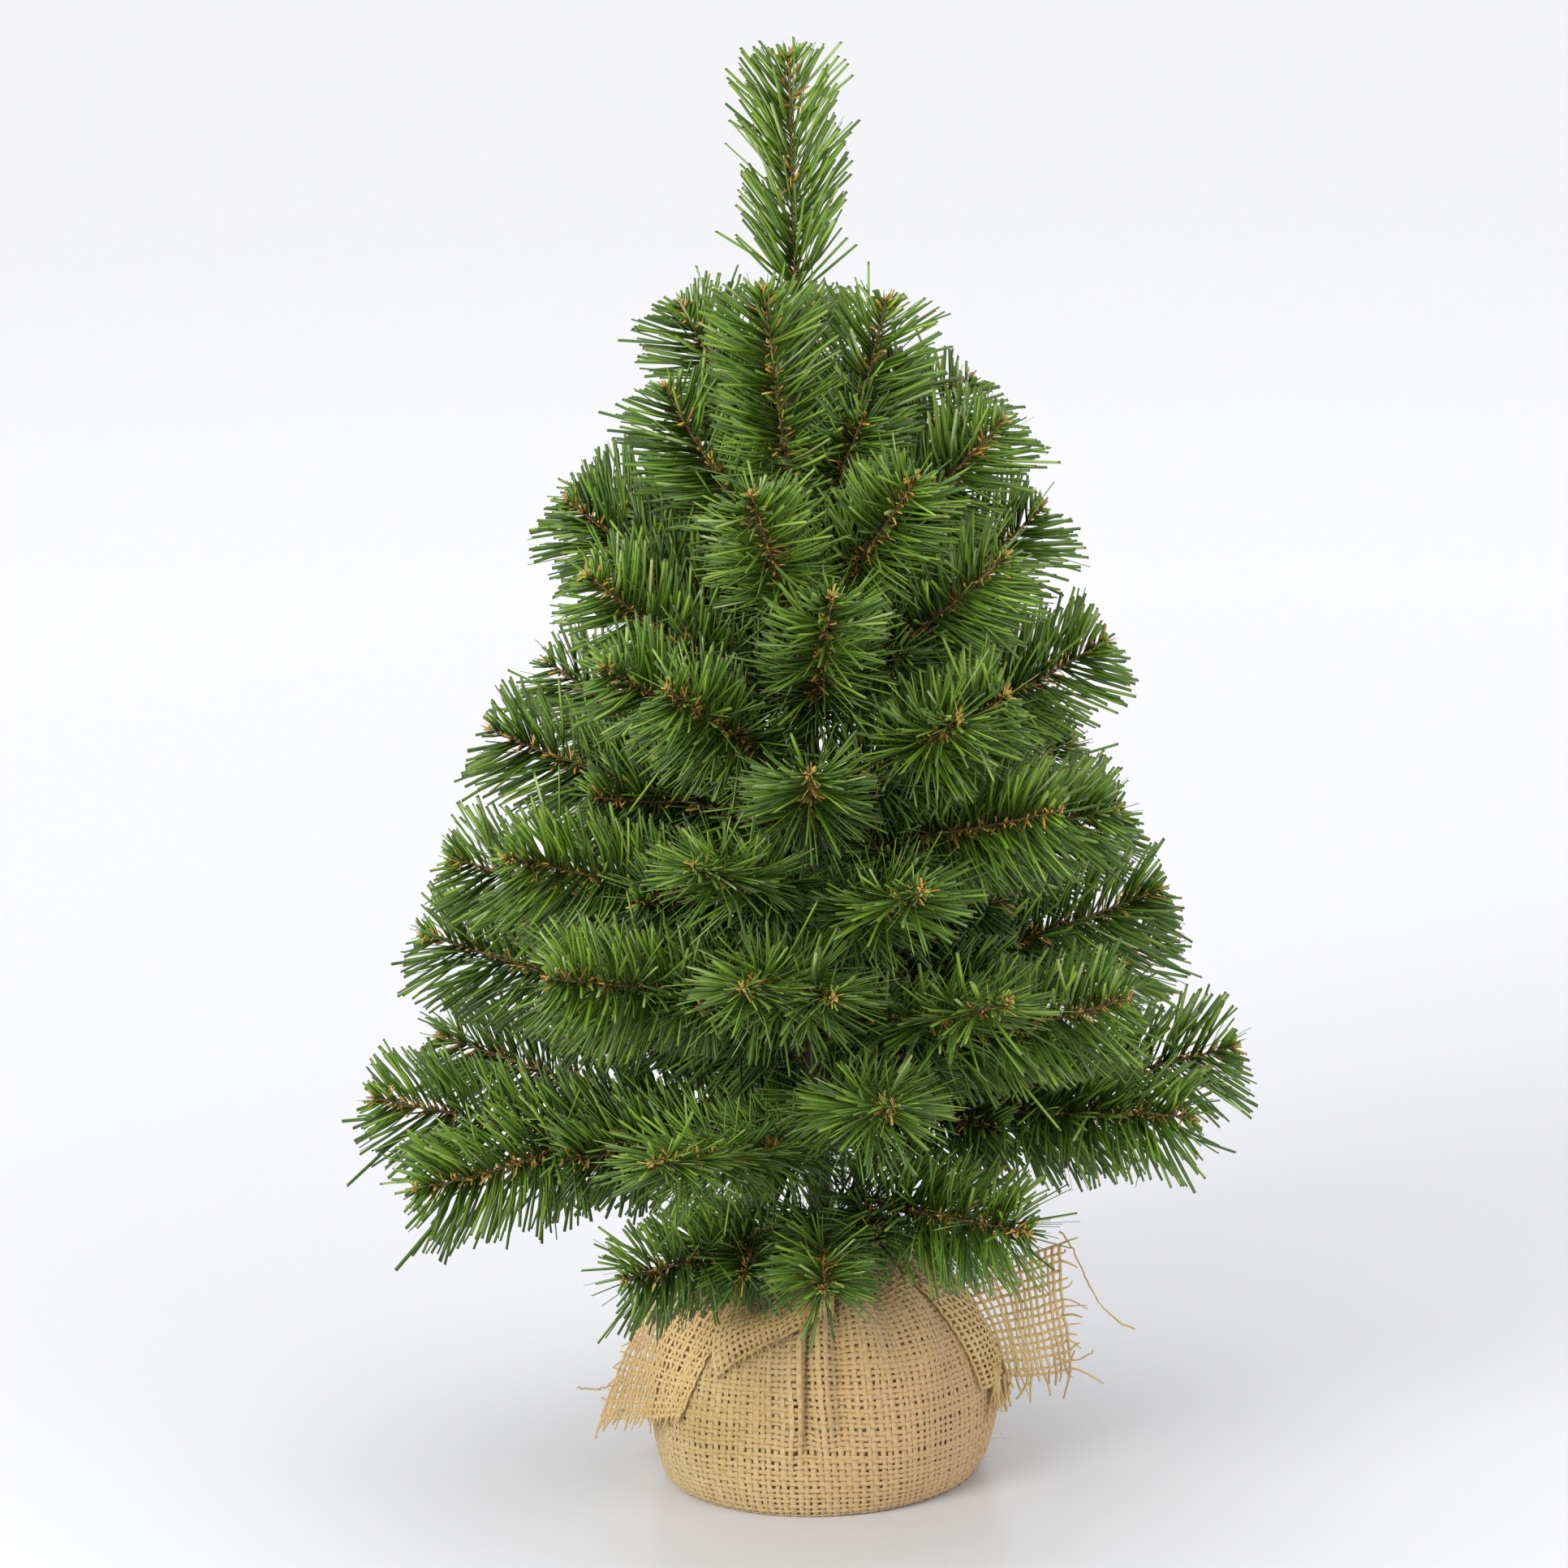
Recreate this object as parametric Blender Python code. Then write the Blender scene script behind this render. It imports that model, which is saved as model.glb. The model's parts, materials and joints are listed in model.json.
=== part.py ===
"""Artificial tabletop tree: a trunk in a burlap-wrapped weight, with a wire-cored brush for each branch.

Metres, +Z up. The origin is the centre of the flat foot, and the trunk stands on +Z.
Bearings are in degrees about +Z: 0 points right (+X) and -90 points to the front (-Y).
"""

from math import cos, pi, radians, sin

import bmesh
import bpy
from mathutils import Matrix, Vector

# Overall sizes
TREE_HEIGHT = 0.600  # table to the tip of the leader
SPREAD_RADIUS = 0.188  # trunk's axis to the tip of the widest branch
CLEARANCE = 0.0003  # between pieces that touch

# Trunk
POLE_RADIUS = 0.0035
POLE_TOP = 0.494
TAPE_WALL = 0.0009
TAPE_BOTTOM = 0.103
TAPE_TOP_MARGIN = 0.004  # bare pole above the tape

# Branches: a twisted wire in a brush of needles
WIRE_RADIUS = 0.0012
BRUSH_RADIUS = 0.0048
TIP_RADIUS = 0.0022
BARE_LENGTH = 0.020  # wire that shows beside the trunk
SWELL_LENGTH = 0.018  # from bare wire to full brush
TAPER_LENGTH = 0.030  # from full brush to the tip
LOWEST_ROOT = 0.110
HIGHEST_ROOT = 0.408
BRANCH_RISE = 0.34  # share of the climb that is made by mid reach: under half curves upwards
PATH_STEP = 0.015
LEADER_BARE_LENGTH = 0.003

# Weight in the foot
WEIGHT_RADIUS = 0.055
WEIGHT_HEIGHT = 0.042
BORE_BOTTOM = 0.010  # the weight's floor under the pole

# Burlap wrap
WRAP_WALL = 0.0015
FOOT_RADIUS = 0.064
BULGE_RADIUS = 0.0725
BULGE_HEIGHT = 0.034
SHOULDER_FULLNESS = 0.85  # under 1 makes the shoulder squarer
NECK_RADIUS = 0.0165
NECK_HEIGHT = 0.095  # where the cloth is gathered and tied
RIM_RADIUS = 0.0195
RIM_HEIGHT = 0.103
TWINE_RADIUS = 0.0013
ROUND_SEGMENTS = 40

# (bearing in degrees, tip height in % of TREE_HEIGHT, reach in % of SPREAD_RADIUS), from the top down
BRANCHES = [
    (-110, 85.0, 20),
    (-20, 83.5, 21),
    (115, 80.0, 27),
    (-170, 78.0, 30),
    (-8, 75.0, 46),
    (50, 74.0, 34),
    (-58, 73.0, 47),
    (-103, 72.5, 48),
    (82, 71.0, 48),
    (180, 70.0, 52),
    (132, 68.5, 53),
    (10, 68.0, 55),
    (-35, 67.0, 54),
    (-147, 66.5, 56),
    (-84, 66.0, 55),
    (62, 64.0, 58),
    (104, 61.0, 62),
    (-119, 60.0, 62),
    (0, 59.0, 67),
    (-48, 58.5, 64),
    (155, 57.0, 65),
    (-90, 55.0, 70),
    (180, 54.0, 71),
    (-42, 50.5, 73),
    (128, 50.0, 73),
    (33, 49.5, 73),
    (-110, 49.0, 74),
    (-152, 47.5, 76),
    (-72, 47.0, 76),
    (20, 45.5, 76),
    (180, 45.0, 81),
    (97, 44.0, 79),
    (-101, 41.5, 83),
    (-133, 41.0, 84),
    (8, 40.5, 80),
    (57, 40.0, 85),
    (-61, 39.5, 85),
    (170, 38.5, 90),
    (-39, 38.0, 87),
    (137, 37.0, 89),
    (23, 35.5, 88),
    (-80, 34.0, 91),
    (87, 32.5, 91),
    (-12, 31.5, 95),
    (-112, 30.5, 95),
    (158, 29.5, 94),
    (-176, 28.5, 100),
    (96, 24.5, 88),
    (-56, 23.0, 80),
    (-90, 20.5, 80),
    (-125, 20.0, 76),
]

# Spare cloth. The inner edge, as (bearing in degrees, share of NECK_HEIGHT), lies on the wrap. The outer
# edge, as (bearing, share, distance past the wrap's widest radius), hangs free. Top ends come first.
FLAP_RIGHT_INNER = ((-14, 0.90), (-16, 0.46))
FLAP_RIGHT_OUTER = ((-6, 1.04, 0.0285), (-2, 0.42, 0.0305))
FLAP_RIGHT_HUG = 1.0  # over 1 keeps the cloth near the wrap for longer
FLAP_LEFT_INNER = ((-131, 0.85), (-142, 0.42))
FLAP_LEFT_OUTER = ((-183, 0.95, -0.0045), (-175, 0.28, 0.0225))
FLAP_LEFT_HUG = 1.6
CLOTH_WALL = 0.0012
CLOTH_ROWS = 8
FOLD_LEFT = -127  # bearing of the folded edge's ends, in degrees
FOLD_RIGHT = -90
FOLD_TOP = 0.90  # shares of the wrap's outline
FOLD_LOW_LEFT = 0.62
FOLD_LOW_RIGHT = 0.74
CLOTH_STAND_OFF = 0.0012  # between spare cloth and the wrap under it

COLOURS = {
    "steel": ((0.30, 0.27, 0.23), 0.55, 0.9),
    "tape": ((0.10, 0.075, 0.045), 0.7, 0.0),
    "needles": ((0.07, 0.20, 0.04), 0.5, 0.0),
    "burlap": ((0.50, 0.36, 0.20), 0.9, 0.0),
    "twine": ((0.42, 0.29, 0.15), 0.9, 0.0),
    "cement": ((0.45, 0.44, 0.42), 0.95, 0.0),
}


def clear_scene():
    for thing in list(bpy.data.objects):
        bpy.data.objects.remove(thing, do_unlink=True)


def material(key):
    """The Principled material of one of COLOURS, made once."""
    name = f"{key}_material"
    made = bpy.data.materials.get(name)
    if made:
        return made
    colour, roughness, metallic = COLOURS[key]
    made = bpy.data.materials.new(name)
    made.use_nodes = True
    shader = made.node_tree.nodes["Principled BSDF"]
    shader.inputs["Base Color"].default_value = (*colour, 1.0)
    shader.inputs["Roughness"].default_value = roughness
    shader.inputs["Metallic"].default_value = metallic
    return made


def add_object(name, data, key):
    """A new object with its material, in the scene."""
    thing = bpy.data.objects.new(name, data)
    bpy.context.scene.collection.objects.link(thing)
    data.materials.append(material(key))
    return thing


def add_mesh(name, shape, key):
    """An object from a bmesh, with its faces turned outwards and its round sides smooth."""
    bmesh.ops.recalc_face_normals(shape, faces=shape.faces)
    data = bpy.data.meshes.new(name)
    shape.to_mesh(data)
    shape.free()
    data.shade_smooth()
    data.set_sharp_from_angle(angle=radians(40))
    return add_object(name, data, key)


def turned(name, outline, key, closed, segments=ROUND_SEGMENTS):
    """An outline of (radius, height) points spun about Z. An open outline gets a flat disc at both ends."""
    shape = bmesh.new()
    points = [shape.verts.new((radius, 0, height)) for radius, height in outline]
    edges = [shape.edges.new(pair) for pair in zip(points, points[1:])]
    if closed:
        edges.append(shape.edges.new((points[-1], points[0])))
    bmesh.ops.spin(
        shape,
        geom=points + edges,
        axis=(0, 0, 1),
        cent=(0, 0, 0),
        angle=2 * pi,
        steps=segments,
        use_merge=True,
    )
    bmesh.ops.remove_doubles(shape, verts=shape.verts, dist=1e-6)
    if not closed:
        bmesh.ops.holes_fill(shape, edges=[edge for edge in shape.edges if edge.is_boundary])
    return add_mesh(name, shape, key)


# Burlap wrap: its outline, which the loose cloth follows too


def wrap_outline(share):
    """(radius, height) on the wrap's outer side, from the foot's edge at 0 to the gathered neck at 1."""
    lower = 0.3
    if share < lower:
        turn = pi / 2 * share / lower
        radius = FOOT_RADIUS + (BULGE_RADIUS - FOOT_RADIUS) * sin(turn)
        return radius, BULGE_HEIGHT * (1 - cos(turn))
    turn = pi / 2 * (share - lower) / (1 - lower)
    radius = NECK_RADIUS + (BULGE_RADIUS - NECK_RADIUS) * cos(turn) ** SHOULDER_FULLNESS
    return radius, BULGE_HEIGHT + (NECK_HEIGHT - BULGE_HEIGHT) * sin(turn)


def wrap_radius(height):
    """The wrap's outer radius at a height."""
    if height < BULGE_HEIGHT:
        return FOOT_RADIUS + (BULGE_RADIUS - FOOT_RADIUS) * (1 - (1 - height / BULGE_HEIGHT) ** 2) ** 0.5
    climbed = min((height - BULGE_HEIGHT) / (NECK_HEIGHT - BULGE_HEIGHT), 1)
    return NECK_RADIUS + (BULGE_RADIUS - NECK_RADIUS) * (1 - climbed**2) ** (SHOULDER_FULLNESS / 2)


def wrap_normal(share):
    """Unit (radial, up) direction out of the wrap at a point of its outline."""
    step = 0.002
    before = Vector(wrap_outline(max(share - step, 0)))
    after = Vector(wrap_outline(min(share + step, 1)))
    along = (after - before).normalized()
    return Vector((along.y, -along.x))


def at(bearing, radius, height):
    """The point at a bearing in degrees, a distance from the trunk's axis and a height."""
    turn = radians(bearing)
    return Vector((radius * cos(turn), radius * sin(turn), height))


def build_wrap():
    rings = 14
    shares = [step / rings for step in range(rings + 1)]
    outside = [wrap_outline(share) for share in shares]
    inside = [
        (FOOT_RADIUS - WRAP_WALL, WRAP_WALL),
        *[tuple(Vector(wrap_outline(share)) - wrap_normal(share) * WRAP_WALL) for share in shares[2:-1]],
        (NECK_RADIUS - WRAP_WALL, NECK_HEIGHT),
    ]
    rim = [(RIM_RADIUS, RIM_HEIGHT), (RIM_RADIUS - WRAP_WALL, RIM_HEIGHT)]
    return turned("burlap_wrap", outside + rim + inside[::-1], "burlap", closed=False)


def cloth_patch(name, place):
    """A thin closed sheet over a square grid of points place(across, along), both from 0 to 1."""
    shape = bmesh.new()
    steps = [step / CLOTH_ROWS for step in range(CLOTH_ROWS + 1)]
    grid = [[shape.verts.new(place(across, along)) for along in steps] for across in steps]
    for near, far in zip(grid, grid[1:]):
        for low in range(CLOTH_ROWS):
            shape.faces.new((near[low], far[low], far[low + 1], near[low + 1]))
    data = bpy.data.meshes.new(name)
    shape.to_mesh(data)
    shape.free()
    data.shade_smooth()
    sheet = add_object(name, data, "burlap")
    wall = sheet.modifiers.new("wall", "SOLIDIFY")
    wall.thickness = CLOTH_WALL
    wall.offset = 0.0
    return sheet


def build_flap(name, inner, outer, hug):
    """A corner of spare cloth, from its edge on the wrap to its free edge."""
    lift = CLOTH_STAND_OFF + CLOTH_WALL / 2

    def place(out, down):
        bearing_in, share_in = Vector(inner[0]).lerp(Vector(inner[1]), down)
        bearing_out, share_out, past = Vector(outer[0]).lerp(Vector(outer[1]), down)
        height = NECK_HEIGHT * (share_in + (share_out - share_in) * out)
        start = wrap_radius(NECK_HEIGHT * share_in) + lift
        radius = start + (BULGE_RADIUS + past - start) * out**hug
        lies_on = wrap_radius(height) + lift
        return at(bearing_in + (bearing_out - bearing_in) * out, max(radius, lies_on), height)

    return cloth_patch(name, place)


def build_front_fold():
    """The cloth's folded edge, which lies on the front of the wrap below the neck."""

    def place(across, along):
        low = FOLD_LOW_LEFT + across * (FOLD_LOW_RIGHT - FOLD_LOW_LEFT)
        share = low + (FOLD_TOP - low) * along
        lift = CLOTH_STAND_OFF + CLOTH_WALL / 2
        radius, height = Vector(wrap_outline(share)) + wrap_normal(share) * lift
        return at(FOLD_LEFT + across * (FOLD_RIGHT - FOLD_LEFT), radius, height)

    return cloth_patch("burlap_flap_front", place)


def build_neck_tie():
    """Twine round the neck, as a ring that touches the gathered cloth."""
    radius = NECK_RADIUS + TWINE_RADIUS + 3 * CLEARANCE
    height = NECK_HEIGHT + TWINE_RADIUS + CLEARANCE
    shape = bmesh.new()
    sides = 6
    ring = [
        shape.verts.new(
            (
                radius + TWINE_RADIUS * cos(2 * pi * side / sides),
                0,
                height + TWINE_RADIUS * sin(2 * pi * side / sides),
            )
        )
        for side in range(sides)
    ]
    edges = [shape.edges.new((ring[side], ring[(side + 1) % sides])) for side in range(sides)]
    bmesh.ops.spin(
        shape,
        geom=ring + edges,
        axis=(0, 0, 1),
        cent=(0, 0, 0),
        angle=2 * pi,
        steps=ROUND_SEGMENTS,
        use_merge=True,
    )
    bmesh.ops.remove_doubles(shape, verts=shape.verts, dist=1e-6)
    return add_mesh("neck_tie", shape, "twine")


def build_weight():
    bottom = WRAP_WALL + CLEARANCE
    bore = POLE_RADIUS + CLEARANCE
    top = bottom + WEIGHT_HEIGHT
    chamfer = 0.003
    outline = [
        (WEIGHT_RADIUS - chamfer, bottom),
        (WEIGHT_RADIUS, bottom + chamfer),
        (WEIGHT_RADIUS, top - chamfer),
        (WEIGHT_RADIUS - chamfer, top),
        (bore, top),
        (bore, BORE_BOTTOM),
    ]
    return turned("base_weight", outline, "cement", closed=False)


def build_pole():
    outline = [(POLE_RADIUS, BORE_BOTTOM + CLEARANCE), (POLE_RADIUS, POLE_TOP)]
    return turned("trunk_pole", outline, "steel", closed=False, segments=16)


def build_tape():
    inner = POLE_RADIUS + CLEARANCE
    outer = inner + TAPE_WALL
    top = POLE_TOP - TAPE_TOP_MARGIN
    outline = [(inner, TAPE_BOTTOM), (outer, TAPE_BOTTOM), (outer, top), (inner, top)]
    return turned("trunk_tape", outline, "tape", closed=True, segments=16)


def brush_radius(along, length, bare):
    """The brush's radius at a distance along its wire."""
    swell = min(max((along - bare) / SWELL_LENGTH, 0.0), 1.0)
    taper = min((length - along) / TAPER_LENGTH, 1.0)
    full = WIRE_RADIUS + (BRUSH_RADIUS - WIRE_RADIUS) * swell
    return min(full, TIP_RADIUS + (BRUSH_RADIUS - TIP_RADIUS) * taper)


def build_brush(name, path, bare):
    """A round tube along path, a function of 0 to 1 in the object's own X-Z plane, starting at its origin."""
    fine = [path(step / 100) for step in range(101)]
    lengths = [0.0]
    for here, there in zip(fine, fine[1:]):
        lengths.append(lengths[-1] + (there - here).length)
    length = lengths[-1]
    spans = max(round((length - bare - SWELL_LENGTH) / PATH_STEP), 3)
    spread = [bare + SWELL_LENGTH + (length - bare - SWELL_LENGTH) * step / spans for step in range(spans + 1)]
    stations = [0.0, bare, *spread]
    data = bpy.data.curves.new(name, "CURVE")
    data.dimensions = "3D"
    data.bevel_depth = 1.0
    data.bevel_resolution = 1
    data.use_fill_caps = True
    spline = data.splines.new("POLY")
    spline.points.add(len(stations) - 1)
    for point, station in zip(spline.points, stations):
        after = next(index for index, reached in enumerate(lengths) if reached >= station - 1e-9)
        point.co = (*fine[after], 1.0)
        point.radius = brush_radius(station, length, bare)
    return add_object(name, data, "needles")


def build_branch(number, bearing, tip_height, reach):
    """A branch whose origin is its bend at the trunk, and which swings in its own X-Z plane."""
    rank = (len(BRANCHES) - number) / (len(BRANCHES) - 1)
    root_height = LOWEST_ROOT + (HIGHEST_ROOT - LOWEST_ROOT) * rank
    root_radius = POLE_RADIUS + CLEARANCE + TAPE_WALL + WIRE_RADIUS + 2 * CLEARANCE
    out = SPREAD_RADIUS * reach / 100 - root_radius
    climb = TREE_HEIGHT * tip_height / 100 - root_height

    def path(share):
        level = 2 * share * (1 - share) * out / 2 + share * share * out
        height = 2 * share * (1 - share) * climb * BRANCH_RISE + share * share * climb
        return Vector((level, 0, height))

    branch = build_brush(f"branch_{number:02d}", path, BARE_LENGTH)
    turn = Matrix.Rotation(radians(bearing), 4, "Z")
    branch.matrix_world = turn @ Matrix.Translation((root_radius, 0, root_height))
    return branch


def build_leader():
    """The upright brush on the trunk's top, which bends at its foot."""
    foot = POLE_TOP + WIRE_RADIUS + CLEARANCE
    rise = TREE_HEIGHT - foot
    leader = build_brush("leader", lambda share: Vector((0, 0, rise * share)), LEADER_BARE_LENGTH)
    leader.location = (0, 0, foot)
    return leader


def build_tree():
    clear_scene()
    build_pole()
    build_tape()
    build_weight()
    build_wrap()
    build_flap("burlap_flap_right", FLAP_RIGHT_INNER, FLAP_RIGHT_OUTER, FLAP_RIGHT_HUG)
    build_flap("burlap_flap_left", FLAP_LEFT_INNER, FLAP_LEFT_OUTER, FLAP_LEFT_HUG)
    build_front_fold()
    build_neck_tie()
    build_leader()
    for number, (bearing, tip_height, reach) in enumerate(BRANCHES, start=1):
        build_branch(number, bearing, tip_height, reach)


build_tree()
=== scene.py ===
"""Looks of the artificial tabletop tree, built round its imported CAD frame.

Each branch is a brush: two twisted wires with flat needles and short brown scales held between them. It
follows the centreline of its CAD solid and rides on its body. The cloth round the foot is woven from
single threads. Metres, +Z up, -Y to the front; bearings are in degrees about +Z from +X.
"""

import json
from math import cos, pi, radians, sin, tau

import bpy
import numpy as np
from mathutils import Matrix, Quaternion, Vector


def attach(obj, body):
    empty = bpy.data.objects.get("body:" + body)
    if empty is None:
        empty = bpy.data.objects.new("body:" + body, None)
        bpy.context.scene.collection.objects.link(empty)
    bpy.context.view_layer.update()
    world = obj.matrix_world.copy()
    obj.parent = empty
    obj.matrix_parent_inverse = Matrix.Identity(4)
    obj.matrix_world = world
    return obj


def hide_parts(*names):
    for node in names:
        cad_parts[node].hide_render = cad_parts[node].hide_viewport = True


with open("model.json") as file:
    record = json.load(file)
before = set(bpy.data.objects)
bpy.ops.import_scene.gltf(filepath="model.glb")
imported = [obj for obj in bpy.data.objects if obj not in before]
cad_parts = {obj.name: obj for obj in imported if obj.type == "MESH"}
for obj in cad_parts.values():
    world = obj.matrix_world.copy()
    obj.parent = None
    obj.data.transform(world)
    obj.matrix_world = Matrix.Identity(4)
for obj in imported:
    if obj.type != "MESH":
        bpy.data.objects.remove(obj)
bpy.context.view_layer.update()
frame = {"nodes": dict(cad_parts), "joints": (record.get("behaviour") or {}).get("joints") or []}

MM = 0.001
UP = np.array([0.0, 0.0, 1.0])

# Brushes
NEEDLE_LENGTH = (26 * MM, 33 * MM)
NEEDLE_WIDTH = 1.45 * MM
NEEDLE_RIDGE = 0.22 * MM
NEEDLES_PER_METRE = 3200
SCALES_PER_METRE = 1050
SCALE_SPACING = 4.2 * MM  # between clumps of brown scales
TIP_SCALES = 12
FIRST_NEEDLE = 4 * MM  # from the hinge
LEADER_FIRST_NEEDLE = 2 * MM
WIRE_END = 4 * MM  # the wire stops this far short of the CAD solid's end
TIP_OVERHANG = (1.5 * MM, 6 * MM)  # needles' reach past the wire
STRAND_RADIUS = 0.42 * MM
STRAND_TURN = 5.0 * MM
RING_SIDES = 6  # sides of a branch's CAD solid

FRONT = (0.0, -0.976, 0.218)  # the photo's side of the tree, which the combs lie across
COMB_SHARE = (0.35, 0.66)  # of the needles that lie in a comb, at the root and further out
COMB_GROWTH = 50 * MM  # from the root to where that share is full
COMB_SPREAD = 20  # of a comb's needles round the wire, in degrees
LEAN_AT_TIP, LEAN_ALONG, LEAN_AT_ROOT = 42, 22, 14  # off the wire in degrees, each on top of the one before
LEAN_SPREAD = 7
TIP_PART, ROOT_PART = 45 * MM, 30 * MM  # where the lean changes
BEND_FORWARD, BEND_DOWN = 0.16, 0.05  # of a needle's end, as shares of its length
BEND_SPREAD, BEND_LIMIT = 0.06, 0.1
STRAY_SHARE, STRAY_BEND = 0.03, 5
# The inner tips' lightness is painted shade: their needles darker, for the shade inside the tree.
BRUSH_LIGHTNESS, INNER_LIGHTNESS, LEADER_LIGHTNESS = 0.46, 0.22, 0.62
INNER_SIZE = 0.85
SCALE_LENGTH, SCALE_WIDTH = (3 * MM, 6.5 * MM), (0.8 * MM, 1.4 * MM)
SCALE_LEAN = (35, 75)
TIP_SCALE_LEAN, TIP_SCALE_SIZE = 65, 0.6

# Side tips, as (share of the way out, bearing turned, rise turned, length), by branch
SIDE_TIPS = {
    "branch_18": [(0.45, -32, 8, 0.075)],
    "branch_20": [(0.50, -30, -4, 0.070)],
    "branch_24": [(0.50, 34, -6, 0.075)],
    "branch_26": [(0.50, 20, 26, 0.075)],
    "branch_33": [(0.52, 36, -4, 0.072)],
    "branch_44": [(0.50, -36, -14, 0.085), (0.30, -24, -10, 0.085)],
    "branch_47": [(0.50, 34, -22, 0.085)],
}
BACK_BEARINGS = (38, 150)  # between these, every branch forks to both sides
BACK_SIDE_TIPS = [(0.42, -34, 6, 0.078), (0.55, 36, 10, 0.066)]
BACK_UP_TIP = (0.34, 4, 34, 0.062)  # and upwards, on those that end below this height
BACK_UP_BELOW = 420 * MM
INNER_TIPS = [(0.20, -38, -12, 0.052), (0.34, 38, -8, 0.050)]  # hidden ones that close the inside, their needles painted darker as shade
INNER_REACH = 95 * MM  # on branches at least this long
FRONT_GAP = 34  # none this near the front, in degrees, where the photo looks into the dark
LEADER_LEAN = 40  # of its needles off the wire, in degrees
LEADER_DENSITY = 0.85
NEEDLE_SIZES = {"branch_50": 0.86, "branch_51": 0.86}  # others 1

# Cloth, on the outline that part.py gives the wrap
FOOT_RADIUS, BULGE_RADIUS, NECK_RADIUS, RIM_RADIUS = 64 * MM, 72.5 * MM, 16.5 * MM, 19.5 * MM
BULGE_HEIGHT, NECK_HEIGHT, RIM_HEIGHT = 34 * MM, 95 * MM, 103 * MM
SHOULDER_FULLNESS = 0.85
FRILL = 0.08  # height of the frill above the tie, as a share of the outline
WARP_PITCH = 3.0 * MM  # between the upright threads
WEFT_PITCH = 2.45 * MM
WARP_WIDTH, WEFT_WIDTH = 1.33 * MM, 1.05 * MM  # half widths and heights
THREAD_HEIGHT = 0.32 * MM
LOOSE_HEIGHT = 0.42 * MM
LONG_THREAD_RADIUS = 0.38 * MM
STRAND_SAG = 0.15  # of a loose thread's end, as a share of its length
CLOTH_SET_IN = 0.9 * MM  # the threads' middle behind the CAD surface
SHADE_SHEET_SET_IN = (1.2 * MM, 1.7 * MM)  # of the two faces of the sheet of painted shade behind the threads
UNDERSIDE = (0.15 * MM, 1.15 * MM)  # heights of the two faces of the cloth under the weight
PLEAT_DEPTH, SLACK_DEPTH = 3.0 * MM, 0.75 * MM
FOOT_LEAN, FOOT_LEAN_BEARING = 2.4 * MM, -150  # the foot stands out on this side
FULLNESS = 1.4 * MM
FLAP_LIFT = 2.2 * MM
FLAP_JITTER = 0.14  # of the threads' places, as a share of the pitch
FOLD_LEFT, FOLD_RIGHT = -129, -86
CREASE = -100.5  # bearing of the deep one on the front
# Creases, as (bearing, width in degrees, depth, lowest share, highest share); positive stands out
CREASES = [
    (CREASE - 6.5, 3.6, -2.8 * MM, 0.24, 0.80),
    (CREASE - 1.5, 3.4, 2.8 * MM, 0.18, 0.80),
    (CREASE + 3.8, 3.0, -4.0 * MM, 0.20, 0.80),
    (CREASE + 9.5, 3.6, 2.6 * MM, 0.20, 0.85),
    (CREASE + 15.5, 3.6, -3.4 * MM, 0.24, 0.90),
    (CREASE + 23.0, 4.2, 1.6 * MM, 0.28, 0.90),
    (-118.0, 4.0, -1.6 * MM, 0.20, 0.70),
    (-72.0, 5.0, 1.6 * MM, 0.42, 1.02),
    (-62.0, 4.0, -1.5 * MM, 0.45, 1.02),
    (-50.0, 6.0, 2.0 * MM, 0.40, 1.02),
    (-38.0, 4.0, -1.8 * MM, 0.35, 1.0),
]


# Mesh helpers


def unit(v):
    """Vectors of an array at length 1."""
    return v / np.maximum(np.linalg.norm(v, axis=-1, keepdims=True), 1e-12)


def new_mesh(name, points, quads, triangles, materials, slots=0):
    """An object from arrays of points, quads and triangles, with smooth faces and its material slots."""
    mesh = bpy.data.meshes.new(name)
    quads = np.asarray(quads, np.int32).reshape(-1, 4)
    triangles = np.asarray(triangles, np.int32).reshape(-1, 3)
    mesh.vertices.add(len(points))
    mesh.vertices.foreach_set("co", np.asarray(points, np.float32).ravel())
    corners = np.concatenate([quads.ravel(), triangles.ravel()])
    mesh.loops.add(len(corners))
    mesh.loops.foreach_set("vertex_index", corners)
    totals = np.concatenate([np.full(len(quads), 4), np.full(len(triangles), 3)]).astype(np.int32)
    mesh.polygons.add(len(totals))
    mesh.polygons.foreach_set("loop_start", (np.cumsum(totals) - totals).astype(np.int32))
    mesh.polygons.foreach_set("loop_total", totals)
    mesh.polygons.foreach_set("material_index", np.broadcast_to(slots, len(totals)).astype(np.int32))
    mesh.polygons.foreach_set("use_smooth", np.ones(len(totals), bool))
    for item in materials:
        mesh.materials.append(item)
    mesh.update(calc_edges=True)
    mesh.validate()
    thing = bpy.data.objects.new(name, mesh)
    bpy.context.scene.collection.objects.link(thing)
    return thing


def around(side, upper, turn):
    """Directions at angles from side to upper."""
    return side * np.cos(turn)[:, None] + upper * np.sin(turn)[:, None]


def polar(bearing, radius, height):
    """Points from bearings in radians, radii and heights, each an array or a number."""
    return np.stack(np.broadcast_arrays(radius * np.cos(bearing), radius * np.sin(bearing), height), axis=-1)


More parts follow.
